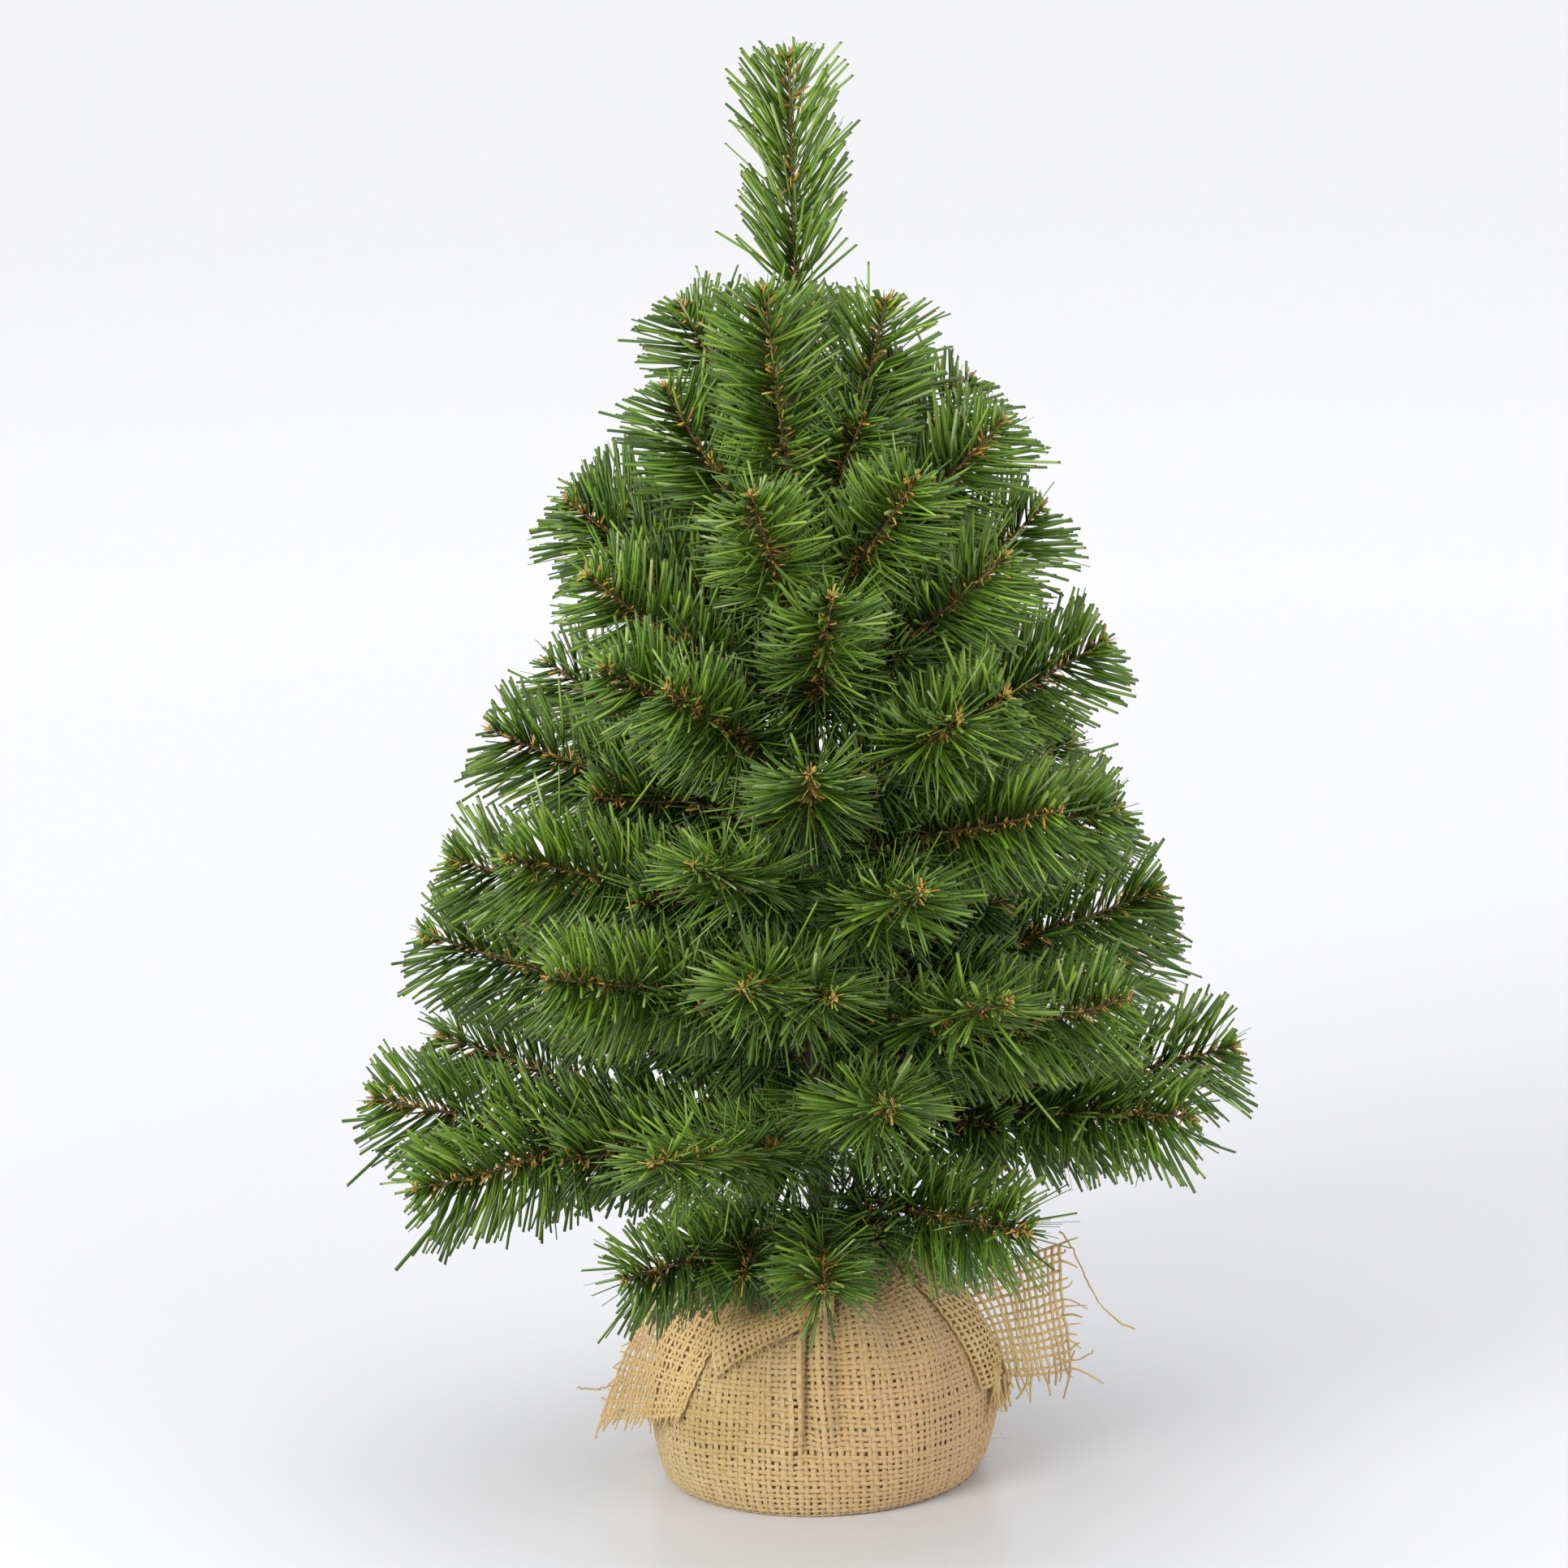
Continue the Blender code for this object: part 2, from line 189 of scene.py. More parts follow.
def lathe(profile, sides):
    """(points, quads, triangles) of a profile of (radius, height) turned about Z, closed on the axis."""
    turns = tau * np.arange(sides) / sides
    rings = [polar(turns, radius, height) for radius, height in profile if radius > 0]
    centres = [[0.0, 0.0, height] for radius, height in profile if radius == 0]
    side = np.arange(sides)
    beside = (side + 1) % sides
    ring = np.arange(len(rings) - 1)[:, None] * sides
    corners = ring + side, ring + sides + side, ring + sides + beside, ring + beside
    quads = np.stack(np.broadcast_arrays(*corners), axis=-1).reshape(-1, 4)
    middle, last = len(rings) * sides, (len(rings) - 1) * sides
    triangles = [np.stack([np.full(sides, middle), side, beside], axis=-1)]
    if len(centres) > 1:
        triangles.append(np.stack([np.full(sides, middle + 1), last + beside, last + side], axis=-1))
    return np.concatenate([*rings, centres]), quads, np.concatenate(triangles)


def tube(path, across, upwards, radius, sides):
    """(points, quads, caps) of a round tube along path."""
    turns = tau * np.arange(sides) / sides
    wide, high = radius * np.cos(turns)[None, :, None], radius * np.sin(turns)[None, :, None]
    points = path[:, None, :] + across[:, None, :] * wide + upwards[:, None, :] * high
    ring = np.arange(len(path) - 1)[:, None] * sides
    side = np.arange(sides)
    beside = (side + 1) % sides
    quads = np.stack([ring + side, ring + beside, ring + sides + beside, ring + sides + side], axis=-1)
    foot = np.array([[0, k + 1, k] for k in range(1, sides - 1)])
    end = foot[:, [0, 2, 1]] + (len(path) - 1) * sides
    return points.reshape(-1, 3), quads.reshape(-1, 4), np.concatenate([foot, end])


class Bundle:
    """Gathers closed shapes, with values at their points, into one mesh."""

    def __init__(self):
        self.points, self.quads, self.triangles = [], [], []
        self.values = {}
        self.quad_slots, self.triangle_slots = [], []
        self.count = 0

    def add(self, points, quads, triangles, slot=0, **values):
        self.points.append(points)
        self.quads.append(np.asarray(quads, int).reshape(-1, 4) + self.count)
        self.triangles.append(np.asarray(triangles, int).reshape(-1, 3) + self.count)
        self.quad_slots.append(np.full(len(self.quads[-1]), slot))
        self.triangle_slots.append(np.full(len(self.triangles[-1]), slot))
        for name, value in values.items():
            self.values.setdefault(name, []).append(np.broadcast_to(value, len(points)))
        self.count += len(points)

    def build(self, name, materials):
        arrays = (np.concatenate(parts) for parts in (self.points, self.quads, self.triangles))
        thing = new_mesh(name, *arrays, materials, np.concatenate(self.quad_slots + self.triangle_slots))
        for key, parts in self.values.items():
            layer = thing.data.attributes.new(key, "FLOAT", "POINT")
            layer.data.foreach_set("value", np.concatenate(parts).astype(np.float32))
        return thing


# Materials


class Shader:
    """A Principled material and the nodes that feed it."""

    def __init__(self, name, roughness=0.5, metallic=0.0, specular=0.5, sheen=0.0):
        self.material = bpy.data.materials.new(name)
        self.material.use_nodes = True
        self.tree = self.material.node_tree
        self.main = self.tree.nodes["Principled BSDF"]
        names = "Roughness", "Metallic", "Specular IOR Level", "Sheen Weight"
        for key, value in zip(names, (roughness, metallic, specular, sheen)):
            self.main.inputs[key].default_value = value

    def node(self, kind, **inputs):
        made = self.tree.nodes.new(kind)
        for key, value in inputs.items():
            socket = made.inputs[int(key[1:])] if key[0] == "_" else made.inputs[key.replace("_", " ")]
            self.feed(socket, value)
        return made

    def feed(self, socket, value):
        if isinstance(value, bpy.types.NodeSocket):
            self.tree.links.new(value, socket)
        else:
            socket.default_value = value

    def attribute(self, name):
        made = self.node("ShaderNodeAttribute")
        made.attribute_name = name
        return made.outputs["Fac"]

    def ramp(self, value, stops):
        """A colour ramp of (place, colour) stops, where a single number is a grey."""
        made = self.node("ShaderNodeValToRGB", Fac=value)
        band = made.color_ramp
        while len(band.elements) < len(stops):
            band.elements.new(0.5)
        for element, (place, colour) in zip(band.elements, stops):
            element.position = place
            element.color = (*np.broadcast_to(colour, 3), 1.0)
        return made.outputs["Color"]

    def mix(self, share, first, second, kind="MIX"):
        made = self.node("ShaderNodeMix")
        made.data_type = "RGBA"
        made.blend_type = kind
        self.feed(made.inputs[0], share)
        for socket, value in ((made.inputs[6], first), (made.inputs[7], second)):
            self.feed(socket, value if isinstance(value, bpy.types.NodeSocket) else (*value, 1.0))
        return made.outputs[2]

    def maths(self, operation, first, second=0.0):
        made = self.node("ShaderNodeMath", _0=first, _1=second)
        made.operation = operation
        return made.outputs[0]

    def noise(self, scale, detail=3.0, roughness=0.5, vector=None):
        made = self.node("ShaderNodeTexNoise", Scale=scale, Detail=detail, Roughness=roughness)
        if vector is None:
            vector = self.node("ShaderNodeTexCoord").outputs["Object"]
        self.feed(made.inputs["Vector"], vector)
        return made.outputs["Fac"]

    def places(self):
        """The object's own X, Y and Z at the point that is shaded."""
        here = self.node("ShaderNodeTexCoord").outputs["Object"]
        return self.node("ShaderNodeSeparateXYZ", Vector=here).outputs

    def bump(self, height, strength, distance):
        made = self.node("ShaderNodeBump", Height=height, Strength=strength, Distance=distance)
        self.feed(self.main.inputs["Normal"], made.outputs["Normal"])

    def colour(self, value):
        self.feed(self.main.inputs["Base Color"], value)


def needle_material():
    shader = Shader("pvc_needle", roughness=0.38, specular=0.45)
    greens = shader.ramp(
        shader.attribute("tint"),
        [
            (0.0, (0.022, 0.060, 0.016)),
            (0.35, (0.065, 0.150, 0.014)),
            (0.65, (0.150, 0.285, 0.018)),
            (0.88, (0.275, 0.430, 0.042)),
            (1.0, (0.370, 0.470, 0.170)),
        ],
    )
    streaks = shader.noise(900.0, 2.0)
    lively = shader.mix(shader.maths("MULTIPLY", streaks, 0.5), greens, (0.15, 0.27, 0.025))
    along = shader.attribute("along")
    # Painted shade: each needle darker towards its root, for the shade inside the brush.
    shaded = shader.mix(shader.ramp(along, [(0.0, 0.50), (0.35, 0.0)]), lively, (0.030, 0.055, 0.012))
    cut = shader.maths("GREATER_THAN", along, 0.975)
    shader.colour(shader.mix(cut, shaded, (0.120, 0.130, 0.050)))
    shader.bump(streaks, 0.25, 0.0002)
    return shader.material


def scale_material():
    """Short brown scales along the wire."""
    shader = Shader("pvc_scale", roughness=0.55, specular=0.35)
    browns = shader.ramp(
        shader.attribute("tint"),
        [
            (0.0, (0.270, 0.140, 0.028)),
            (0.4, (0.560, 0.320, 0.050)),
            (0.75, (0.780, 0.500, 0.095)),
            (1.0, (0.420, 0.350, 0.130)),
        ],
    )
    specks = shader.maths("MULTIPLY", shader.noise(700.0), 0.5)
    shader.colour(shader.mix(specks, browns, (0.25, 0.13, 0.03)))
    return shader.material


def speckled_material(name, colour, grain, depth, dark, light, **finish):
    """A plain solid with colour and grain from noises of the given (scale, detail)."""
    shader = Shader(name, **finish)
    shader.colour(shader.ramp(shader.noise(*colour), [(0.3, dark), (0.7, light)]))
    shader.bump(shader.noise(*grain), *depth)
    return shader.material


def burlap_material(name, light, dark, stain, painted_shade_right=None):
    """Jute threads: streaks along each thread, paler slubs and a slow change of colour over the cloth, and,
    where a colour for it is given, painted shade that darkens the +X side.
    """
    shader = Shader(name, roughness=0.92, specular=0.15, sheen=0.25)
    along = shader.maths("MULTIPLY", shader.attribute("along"), 260.0)
    around = shader.maths("MULTIPLY", shader.attribute("around"), 3.0)
    place = shader.node("ShaderNodeCombineXYZ", X=along, Y=around, Z=shader.attribute("tint"))
    fibres = shader.noise(1.0, 5.0, 0.6, place.outputs[0])
    threads = shader.mix(fibres, dark, light)
    pale = shader.maths("MULTIPLY", shader.attribute("tint"), 0.30)
    tinted = shader.mix(pale, threads, (0.80, 0.66, 0.42))
    stain_and_shade = shader.mix(shader.ramp(shader.noise(21.0), [(0.42, 0.0), (0.66, 0.58)]), tinted, stain)
    # Painted shade: the cloth darker towards +X, the side away from the key light.
    if painted_shade_right:
        right = shader.maths("ADD", shader.maths("MULTIPLY", shader.places()["X"], 10.0), 0.5)
        right.node.use_clamp = True
        stain_and_shade = shader.mix(right, stain_and_shade, painted_shade_right)
    shader.colour(stain_and_shade)
    shader.bump(fibres, 0.7, 0.0004)
    return shader.material


def tape_material():
    shader = Shader("stem_tape", roughness=0.62, specular=0.4)
    place = shader.places()
    turns = shader.maths("MULTIPLY", place["Z"], 120.0)
    slant = shader.maths("MULTIPLY", place["X"], 60.0)
    wraps = shader.maths("FRACT", shader.maths("ADD", turns, slant))
    shader.colour(shader.mix(shader.noise(160.0), (0.030, 0.022, 0.012), (0.085, 0.058, 0.030)))
    shader.bump(wraps, 0.6, 0.0006)
    return shader.material


def shade_sheet_material():
    """Cloth behind the threads, coloured dark as painted shade for the gaps between them."""
    shader = Shader("burlap_shade_sheet", roughness=0.95, specular=0.05)
    # Painted shade: the colour of the dark seen between the threads.
    shader.colour(shader.mix(shader.noise(300.0), (0.270, 0.190, 0.090), (0.400, 0.285, 0.140)))
    return shader.material


def woven_material():
    """Flat cloth under the weight: the weave as bands, jute colour on the threads and painted shade in the
    gaps between them.
    """
    shader = Shader("burlap_under", roughness=0.95, specular=0.1)
    place = shader.places()
    spots = (shader.maths("MULTIPLY", place[axis], 345.0) for axis in "XY")
    wide, tall = (shader.maths("PINGPONG", spot, 0.5) for spot in spots)
    threads = shader.maths("ADD", wide, tall)
    # Painted shade: dark in the gaps between the threads.
    shader.colour(shader.ramp(threads, [(0.15, (0.10, 0.06, 0.03)), (0.5, (0.50, 0.36, 0.19))]))
    shader.bump(threads, 0.6, 0.0006)
    return shader.material


NEEDLES = needle_material()
SCALES = scale_material()
WIRE = speckled_material(
    "stem_wire", colour=(420.0, 4.0), grain=(1500.0,), depth=(0.4, 0.0003), roughness=0.5, specular=0.4,
    dark=(0.080, 0.052, 0.020), light=(0.210, 0.140, 0.055),
)
BURLAP = burlap_material(
    "burlap_jute",
    light=(0.665, 0.490, 0.195),
    dark=(0.320, 0.215, 0.068),
    stain=(0.350, 0.245, 0.068),
    # painted shade on the +X side
    painted_shade_right=(0.550, 0.370, 0.180),
)
# Painted light: a paler copy of the jute for the cloth that stands out (flaps, front fold and strip), as if
# lit more than the wrap.
LIT_BURLAP = burlap_material(
    "burlap_painted_lit", light=(0.800, 0.580, 0.240), dark=(0.390, 0.250, 0.080), stain=(0.420, 0.260, 0.070)
)
SHADE_SHEET = shade_sheet_material()
WOVEN = woven_material()
POLE = speckled_material(
    "pole_steel", colour=(300.0,), grain=(900.0,), depth=(0.2, 0.0002), roughness=0.5, metallic=0.6,
    dark=(0.045, 0.035, 0.025), light=(0.11, 0.09, 0.065),
)
TAPE = tape_material()
CEMENT = speckled_material(
    "cement_grey", colour=(140.0, 6.0), grain=(420.0, 6.0), depth=(0.8, 0.0008), roughness=0.95, specular=0.2,
    dark=(0.28, 0.27, 0.25), light=(0.50, 0.49, 0.46),
)
TWINE = burlap_material(
    "twine_jute", light=(0.42, 0.29, 0.15), dark=(0.20, 0.12, 0.06), stain=(0.30, 0.20, 0.10)
)


# Brushes


def centreline(node, foot):
    """The centres of the rings of a branch's CAD solid, from its foot outwards."""
    mesh = frame["nodes"][node].data
    corners = np.zeros(len(mesh.vertices) * 3)
    mesh.vertices.foreach_get("co", corners)
    corners = np.unique(np.round(corners.reshape(-1, 3), 6), axis=0)
    order = np.argsort(np.linalg.norm(corners - foot, axis=1))
    return corners[order].reshape(-1, RING_SIDES, 3).mean(axis=1)


class Path:
    """A smooth line through points, with its tangent and its level side at any distance along it."""

    def __init__(self, points):
        along = np.concatenate([[0], np.cumsum(np.linalg.norm(np.diff(points, axis=0), axis=1))])
        degree = min(3, len(points) - 1)
        self.fits = [np.polyfit(along, points[:, axis], degree) for axis in range(3)]
        self.length = along[-1]

    def at(self, along):
        return np.stack([np.polyval(fit, along) for fit in self.fits], axis=-1)

    def tangent(self, along):
        return unit(np.stack([np.polyval(np.polyder(fit), along) for fit in self.fits], axis=-1))

    def frame(self, along):
        """(tangent, level side, upper side) at distances along the line."""
        tangent = self.tangent(along)
        side = np.cross(tangent, UP)
        steep = np.linalg.norm(side, axis=-1, keepdims=True) < 0.15
        side = unit(np.where(steep, np.array([1.0, 0.0, 0.0]), side))
        side = unit(side - tangent * (side * tangent).sum(-1, keepdims=True))
        return tangent, side, np.cross(side, tangent)


def add_blades(bundle, slot, base, way, bend, face, length, width, tint):
    """Adds flat needles with a low ridge: three rings of three points each, from root to cut tip."""
    count = len(base)
    flat = unit(face - way * (face * way).sum(-1, keepdims=True))
    ridge = np.cross(way, flat)
    points = np.empty((count, 3, 3, 3))
    for ring, (share, broad) in enumerate(((0.0, 0.55), (0.5, 1.0), (1.0, 0.82))):
        reach = (length * share)[:, None]
        middle = base + way * reach + bend * reach * share
        half = flat * (width * broad / 2)[:, None]
        points[:, ring, 0] = middle - half
        points[:, ring, 1] = middle + ridge * (NEEDLE_RIDGE * broad)
        points[:, ring, 2] = middle + half
    points[:, 2, 0] += way * (width * 0.25)[:, None]
    sides = [
        [ring + here, ring + there, ring + 3 + there, ring + 3 + here]
        for ring in (0, 3)
        for here, there in ((0, 1), (1, 2), (2, 0))
    ]
    first = (np.arange(count) * 9)[:, None, None]
    bundle.add(
        points.reshape(-1, 3),
        first + np.array(sides),
        first + np.array([[0, 2, 1], [6, 7, 8]]),
        slot=slot,
        tint=np.repeat(tint, 9),
        along=np.tile(np.repeat([0.0, 0.5, 1.0], 3), count),
    )


def comb_frame(path, along):
    """(tangent, comb side, upper side) at distances along a path, with the combs across the front view."""
    tangent, side, _ = path.frame(along)
    across = np.cross(tangent, FRONT)
    facing = np.linalg.norm(across, axis=-1, keepdims=True) < 0.5
    side = unit(np.where(facing, side, across))
    return tangent, side, np.cross(side, tangent)


def grow_needles(bundle, path, first, random, lightness=BRUSH_LIGHTNESS, size=1.0, lean=None, density=1.0):
    """Green needles between the wires, in two combs to the sides and some all round."""
    end = path.length - WIRE_END
    count = int(NEEDLES_PER_METRE * density * (end - first))
    along = np.sort(random.uniform(first, end, count))
    tangent, side, upper = comb_frame(path, along)
    comb = random.random(count) < np.interp(along - first, (0, COMB_GROWTH), COMB_SHARE)
    turn = np.where(
        comb,
        np.where(random.random(count) < 0.5, 0.0, pi) + random.normal(0, radians(COMB_SPREAD), count),
        random.uniform(0, tau, count),
    )
    if lean is None:
        to_tip = np.clip((end - along) / TIP_PART, 0, 1)
        from_root = np.clip((along - first) / ROOT_PART, 0, 1)
        lean = LEAN_AT_TIP + LEAN_ALONG * to_tip + LEAN_AT_ROOT * (1 - from_root)
    lean = np.radians(lean + random.normal(0, LEAN_SPREAD, count))
    outwards = around(side, upper, turn)
    way = unit(around(tangent, outwards, lean))
    length = random.uniform(*NEEDLE_LENGTH, count) * size
    room = end - along + random.uniform(*TIP_OVERHANG, count)
    length = np.minimum(length, room / np.maximum(np.cos(lean) + BEND_FORWARD, 0.3))
    width = NEEDLE_WIDTH * random.normal(1.0, 0.13, count)
    stray = (random.random(count) < STRAY_SHARE)[:, None]
    drift = np.clip(random.normal(0, BEND_SPREAD, (count, 3)), -BEND_LIMIT, BEND_LIMIT)
    bend = tangent * BEND_FORWARD - UP * BEND_DOWN + drift * np.where(stray, STRAY_BEND, 1)
    face = tangent + random.normal(0, 0.45, (count, 3))
    # Painted light: needles that point upwards are paler, on top of their random tone.
    lively = random.normal(random.normal(lightness, 0.05), 0.27, count) + 0.08 * outwards[:, 2]
    add_blades(bundle, 0, path.at(along), way, bend, face, length, width, np.clip(lively, 0, 1))


def grow_scales(bundle, path, first, random, at_tip=TIP_SCALES):
    """Short brown scales in clumps along the wire, and a pale tuft at its tip."""
    end = path.length - WIRE_END
    count = int(SCALES_PER_METRE * (end - first))
    clumps = np.round(random.uniform(first, end, count) / SCALE_SPACING) * SCALE_SPACING
    along = np.clip(clumps + random.normal(0, 0.4 * MM, count), first, end)
    along = np.concatenate([along, np.full(at_tip, end)])
    tip = np.arange(len(along)) >= count
    total = len(along)
    tangent, side, upper = path.frame(along)
    turn = random.uniform(0, tau, total)
    tip_lean = random.uniform(0, radians(TIP_SCALE_LEAN), total)
    lean = np.where(tip, tip_lean, random.uniform(*np.radians(SCALE_LEAN), total))
    outwards = around(side, upper, turn)
    way = unit(around(tangent, outwards, lean))
    length = random.uniform(*SCALE_LENGTH, total) * np.where(tip, TIP_SCALE_SIZE, 1)
    width = random.uniform(*SCALE_WIDTH, total)
    bend = random.normal(0, 0.25, (total, 3))
    face = tangent + random.normal(0, 0.5, (total, 3))
    tint = np.where(tip, random.uniform(0.8, 1.0, total), random.uniform(0.0, 0.85, total))
    add_blades(bundle, 1, path.at(along), way, bend, face, length, width, tint)


def twist_wires(bundle, path, start):
    """The two wires of the stem."""
    along = np.arange(start, path.length - WIRE_END, STRAND_TURN / 4)
    tangent, side, upper = path.frame(along)
    for strand in (0, pi):
        turn = along / STRAND_TURN * tau + strand
        strand_path = path.at(along) + around(side, upper, turn) * STRAND_RADIUS
        bundle.add(*tube(strand_path, side, upper, STRAND_RADIUS, sides=4), slot=2, tint=0.5, along=0.5)


def grow_fork(bundle, path, fork, random, at_tip=TIP_SCALES, **needles):
    """A whole side tip, as given in SIDE_TIPS."""
    side = side_path(path, *fork)
    grow_needles(bundle, side, FIRST_NEEDLE, random, **needles)
    grow_scales(bundle, side, FIRST_NEEDLE, random, at_tip)
    twist_wires(bundle, side, 0.0)


def side_path(path, share, turn, rise, length):
    """A fork that leaves path at a share of its length, turned aside and up by degrees."""
    start = path.length * share
    tangent, side, upper = path.frame(start)
    way = tangent * cos(radians(turn)) - side * sin(radians(turn))
    way = unit(way + upper * np.tan(radians(rise)))
    later = unit(way + tangent * 0.5 + UP * 0.12)
    steps = np.linspace(0, 1, 6)[:, None]
    return Path(path.at(start) + way * length * steps * (1 - steps / 2) + later * length * steps**2 / 2)


def spread_for_bake(thing):
    """Lays each face out in a cell of its own rows, so that the colours can be baked."""
    mesh = thing.data
    layer = mesh.uv_layers.new(name="OFBake")
    totals = np.zeros(len(mesh.polygons), np.int32)
    mesh.polygons.foreach_get("loop_total", totals)
    faces = len(totals)
    columns = int(np.ceil(np.sqrt(faces)))
    owner = np.repeat(np.arange(faces), totals)
    corner = np.arange(len(owner)) - np.repeat(np.cumsum(totals) - totals, totals)
    u = np.where((corner == 1) | (corner == 2), 0.88, 0.12)
    v = np.where(corner >= 2, 0.88, 0.12)
    places = np.stack([owner % columns + u, owner // columns + v], axis=1) / columns
    layer.data.foreach_set("uv", places.astype(np.float32).ravel())


def put(piece, body, node):
    """Rides a piece on a body, in place of a CAD node if it has one."""
    spread_for_bake(piece)
    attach(piece, body)
    if node:
        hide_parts(node)


def build_brush(node, foot, seed):
    random = np.random.default_rng(seed)
    path = Path(centreline(node, foot))
    bundle = Bundle()
    leader = node == "leader"
    first = LEADER_FIRST_NEEDLE if leader else FIRST_NEEDLE
    needles = dict(size=NEEDLE_SIZES.get(node, 1.0))
    if leader:
        needles = dict(lightness=LEADER_LIGHTNESS, lean=LEADER_LEAN, density=LEADER_DENSITY)
    grow_needles(bundle, path, first, random, **needles)
    grow_scales(bundle, path, first + 4 * MM, random)
    twist_wires(bundle, path, -1 * MM)
    end = path.at(path.length)
    bearing = np.degrees(np.arctan2(end[1], end[0]))
    forks = SIDE_TIPS.get(node, [])
    if BACK_BEARINGS[0] < bearing < BACK_BEARINGS[1] and not leader:
        forks = BACK_SIDE_TIPS + ([BACK_UP_TIP] if end[2] < BACK_UP_BELOW else [])
    for fork in forks:
        grow_fork(bundle, path, fork, random)
    if path.length > INNER_REACH and not leader and abs(bearing + 90) > FRONT_GAP:
        # Inner tips with needles in painted shade, darker than the rest.
        for fork in INNER_TIPS:
            grow_fork(bundle, path, fork, random, at_tip=0, lightness=INNER_LIGHTNESS, size=INNER_SIZE)
    brush = bundle.build(f"{node}_brush", [NEEDLES, SCALES, WIRE])
    put(brush, node, node)


def build_brushes():
    for number, joint in enumerate(frame["joints"]):
        build_brush(joint["child"], np.array(joint["pos_m"]), 100 + number)


# Cloth


def smooth(value):
    value = np.clip(value, 0, 1)
    return value * value * (3 - 2 * value)


def outline(share):
    """(radius, height) of the CAD wrap at a share of its outline: 0 at the foot, 1 at the tied neck."""
    share = np.asarray(share, float)
    low = pi / 2 * np.clip(share / 0.3, 0, 1)
    high = pi / 2 * np.clip((share - 0.3) / 0.7, 0, 1)
    frill = np.clip((share - 1) / FRILL, 0, None)
    shoulder = NECK_RADIUS + (BULGE_RADIUS - NECK_RADIUS) * np.maximum(np.cos(high), 0) ** SHOULDER_FULLNESS
    radius = np.where(share < 0.3, FOOT_RADIUS + (BULGE_RADIUS - FOOT_RADIUS) * np.sin(low), shoulder)
    climbed = BULGE_HEIGHT + (NECK_HEIGHT - BULGE_HEIGHT) * np.sin(high)
    height = np.where(share < 0.3, BULGE_HEIGHT * (1 - np.cos(low)), climbed)
    return radius + frill * (RIM_RADIUS - NECK_RADIUS), height + frill * (RIM_HEIGHT - NECK_HEIGHT)


def share_at(height):
    """The share of the outline at a height."""
    climbed = np.clip((height - BULGE_HEIGHT) / (NECK_HEIGHT - BULGE_HEIGHT), -1, 1)
    return np.where(
        height < BULGE_HEIGHT,
        0.3 * np.arccos(np.clip(1 - height / BULGE_HEIGHT, -1, 1)) / (pi / 2),
        0.3 + 0.7 * np.arcsin(np.clip(climbed, 0, 1)) / (pi / 2),
    )


def folds(bearing, share):
    """How far the cloth stands out of its outline, at bearings in radians."""
    gather = smooth((share - 0.50) / 0.50)
    pleats = np.sin(13 * bearing + 1.6 * np.sin(3 * bearing + 1)) + 0.6 * np.sin(8 * bearing + 2.3)
    slack = np.sin(5 * bearing + 5 * share) + 0.7 * np.sin(9 * bearing - 6 * share + 1.0)
    out = PLEAT_DEPTH * gather * pleats + SLACK_DEPTH * slack * smooth(share / 0.3)
    foot = 1 - smooth(share / 0.45)
    out += FOOT_LEAN * np.cos(bearing - radians(FOOT_LEAN_BEARING)) * foot + FULLNESS * smooth(share / 0.25)
    for middle, wide, deep, bottom, top in CREASES:
        away = (np.degrees(bearing) - middle + 180) % 360 - 180
        reach = smooth((share - bottom) / 0.14) * smooth((top - share) / 0.16)
        out += deep * np.exp(-((away / wide) ** 2)) * reach
    return out


def overlap(bearing, share):
    """How far the cloth is pushed sideways, so that it folds over the front crease."""
    away = np.degrees(bearing) - CREASE
    reach = smooth((share - 0.20) / 0.20) * smooth((0.80 - share) / 0.16)
    left, right = np.exp(-(((away + 0.5) / 3.2) ** 2)), np.exp(-(((away - 5) / 3) ** 2))
    return reach * (2.4 * MM * left - 1.0 * MM * right)


def cloth_point(bearing, share, lift=0.0):
    """Points of the wrapped cloth at bearings in radians, moved off it by lift."""
    radius, height = outline(share)
    after, before = outline(share + 0.004), outline(np.maximum(share - 0.004, 0))
    run, rise = after[0] - before[0], after[1] - before[1]
    size = np.hypot(run, rise)
    off = folds(bearing, share) + lift - CLOTH_SET_IN
    radius = radius + off * rise / size
    height = np.maximum(height - off * run / size, THREAD_HEIGHT * 2)
    return polar(bearing + overlap(bearing, share) / radius, radius, height)


def cloth_radius(bearing, height):
    """The cloth's radius with its folds at a height."""
    share = share_at(height)
    return outline(share)[0] + folds(bearing, share) - CLOTH_SET_IN


def slope(points, axis, closed):
    """Differences between neighbours along an axis, which may be a closed ring."""
    if closed:
        return np.roll(points, -1, axis) - np.roll(points, 1, axis)
    return np.gradient(points, axis=axis)


def grid_normals(grid, closed=False):
    """Unit normals of a grid of points (threads, steps)."""
    return unit(np.cross(slope(grid, 0, closed), slope(grid, 1, False)))


